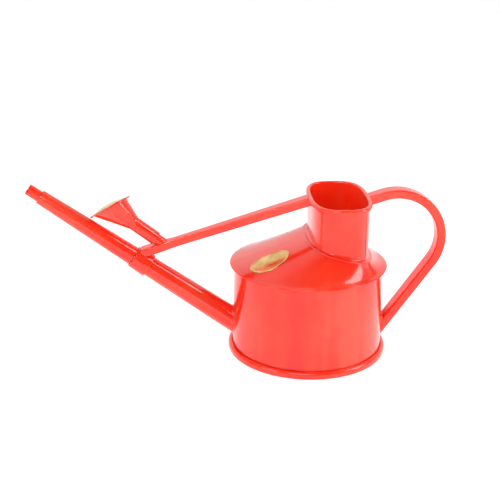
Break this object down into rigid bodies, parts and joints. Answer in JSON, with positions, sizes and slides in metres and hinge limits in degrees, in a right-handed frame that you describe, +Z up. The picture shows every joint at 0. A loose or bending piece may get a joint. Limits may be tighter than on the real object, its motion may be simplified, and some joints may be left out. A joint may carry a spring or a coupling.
{
  "type": "watering can",
  "caption": "Small indoor watering can of glossy plastic: round tank, offset filler neck, bent bar handle, long pull-apart spout and a push-on rose with a brass face, parked on the stay.",
  "frame": {"origin": "centre of the foot ring, on the plane that the can stands on", "axes": "+Z up; the spout points along -X and the handle stands on +X; +Y completes the right-handed frame"},
  "size_m": [0.2959, 0.115, 0.1254],
  "materials": {
    "red_plastic": "glossy",
    "rose_brass": "polished, pierced with fine holes",
    "badge_foil": "embossed foil"
  },
  "bodies": {
    "can": {"base_pan": "red_plastic", "tank_wall": "red_plastic", "shoulder_cover": "red_plastic", "filler_neck": "red_plastic", "lower_spout": "red_plastic", "spout_collar": "red_plastic", "stay_bar": "red_plastic", "rose_peg": "red_plastic", "rear_handle": "red_plastic", "oval_badge": "badge_foil"},
    "spout_end": {"upper_spout": "red_plastic", "nozzle_tip": "red_plastic"},
    "rose": {"rose_body": "red_plastic", "rose_face": "rose_brass"}
  },
  "joints": [
    {"name": "spout_pull", "type": "slide", "parent": "can", "child": "spout_end", "axis": [-0.8141, 0, 0.5807], "range_m": [0, 0.016]},
    {"name": "rose_pull", "type": "slide", "parent": "can", "child": "rose", "axis": [-0.7923, 0, 0.6101], "range_m": [0, 0.018]}
  ]
}
